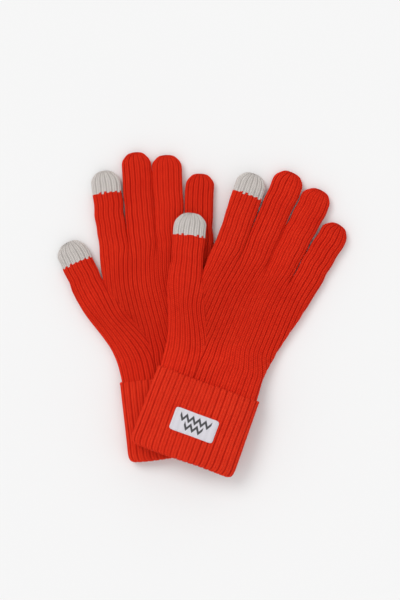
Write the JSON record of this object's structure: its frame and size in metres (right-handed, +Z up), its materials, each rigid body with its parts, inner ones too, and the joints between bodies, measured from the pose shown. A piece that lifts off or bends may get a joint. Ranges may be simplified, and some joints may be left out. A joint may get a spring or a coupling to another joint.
{
  "type": "pair of touchscreen gloves",
  "caption": "Pair of rib-knit touchscreen gloves laid flat, one across the other, with turned-back cuffs, conductive thumb and index tips and a plain woven label.",
  "frame": {"origin": "middle of the bounding box, on the surface the pair lies on", "axes": "+Y toward the fingertips, +X to the wearer's little finger of the upper glove, +Z up off the surface"},
  "size_m": [0.247, 0.278, 0.0281],
  "materials": {
    "red_knit": "orange-red acrylic rib knit",
    "cuff_knit": "orange-red acrylic rib knit, wider ribs",
    "conductive_knit": "warm grey conductive yarn",
    "woven_label": null,
    "sewing_thread": "polyester thread"
  },
  "bodies": {
    "left_hand": {"left_hand": "red_knit", "left_wrist": "red_knit", "left_cuff": "cuff_knit", "left_cuff_edge": "cuff_knit", "left_ring_root": "red_knit", "left_little_root": "red_knit"},
    "left_thumb": {"left_thumb": "red_knit", "left_thumb_tip": "conductive_knit"},
    "left_index": {"left_index_finger": "red_knit", "left_index_tip": "conductive_knit"},
    "left_middle": {"left_middle_finger": "red_knit"},
    "left_ring": {"left_ring_finger": "red_knit"},
    "left_little": {"left_little_finger": "red_knit"},
    "right_hand": {"right_hand": "red_knit", "right_wrist": "red_knit", "right_cuff": "cuff_knit", "right_cuff_edge": "cuff_knit", "label": "woven_label", "label_stitches": "sewing_thread"},
    "right_thumb": {"right_thumb": "red_knit", "right_thumb_tip": "conductive_knit"},
    "right_index": {"right_index_finger": "red_knit", "right_index_tip": "conductive_knit"},
    "right_middle": {"right_middle_finger": "red_knit"},
    "right_ring": {"right_ring_finger": "red_knit"},
    "right_little": {"right_little_finger": "red_knit"}
  },
  "joints": [
    {"name": "right_lift", "type": "slide", "parent": "left_hand", "child": "right_hand", "axis": [0, 0, 1], "range_m": [0, 0.12]},
    {"name": "left_thumb_bend", "type": "hinge", "parent": "left_hand", "child": "left_thumb", "pos_m": [-0.09659, 0.01966, 0.0047], "axis": [0.9128, 0.4083, 0], "range_deg": [0, 60]},
    {"name": "left_index_bend", "type": "hinge", "parent": "left_hand", "child": "left_index", "pos_m": [-0.07681, 0.06434, 0.0047], "axis": [0.9914, 0.1305, 0], "range_deg": [0, 70]},
    {"name": "left_middle_bend", "type": "hinge", "parent": "left_hand", "child": "left_middle", "pos_m": [-0.05218, 0.0659, 0.0047], "axis": [0.9971, 0.0767, 0], "range_deg": [0, 70]},
    {"name": "left_ring_bend", "type": "hinge", "parent": "left_hand", "child": "left_ring", "pos_m": [-0.02907, 0.08494, 0.0047], "axis": [0.9992, 0.0401, 0], "range_deg": [0, 70]},
    {"name": "left_little_bend", "type": "hinge", "parent": "left_hand", "child": "left_little", "pos_m": [-0.00325, 0.09247, 0.0047], "axis": [0.9995, -0.0332, 0], "range_deg": [0, 70]},
    {"name": "right_thumb_bend", "type": "hinge", "parent": "right_hand", "child": "right_thumb", "pos_m": [-0.0147, 0.03452, 0.0145], "axis": [0.9951, -0.0993, 0], "range_deg": [0, 60]},
    {"name": "right_index_bend", "type": "hinge", "parent": "right_hand", "child": "right_index", "pos_m": [0.02511, 0.06452, 0.01168], "axis": [0.9444, -0.3289, 0], "range_deg": [0, 70]},
    {"name": "right_middle_bend", "type": "hinge", "parent": "right_hand", "child": "right_middle", "pos_m": [0.04768, 0.05462, 0.00575], "axis": [0.9171, -0.3987, 0], "range_deg": [0, 70]},
    {"name": "right_ring_bend", "type": "hinge", "parent": "right_hand", "child": "right_ring", "pos_m": [0.06953, 0.04509, 0.0047], "axis": [0.8846, -0.4664, 0], "range_deg": [0, 70]},
    {"name": "right_little_bend", "type": "hinge", "parent": "right_hand", "child": "right_little", "pos_m": [0.09209, 0.03573, 0.0047], "axis": [0.848, -0.5299, 0], "range_deg": [0, 70]}
  ]
}
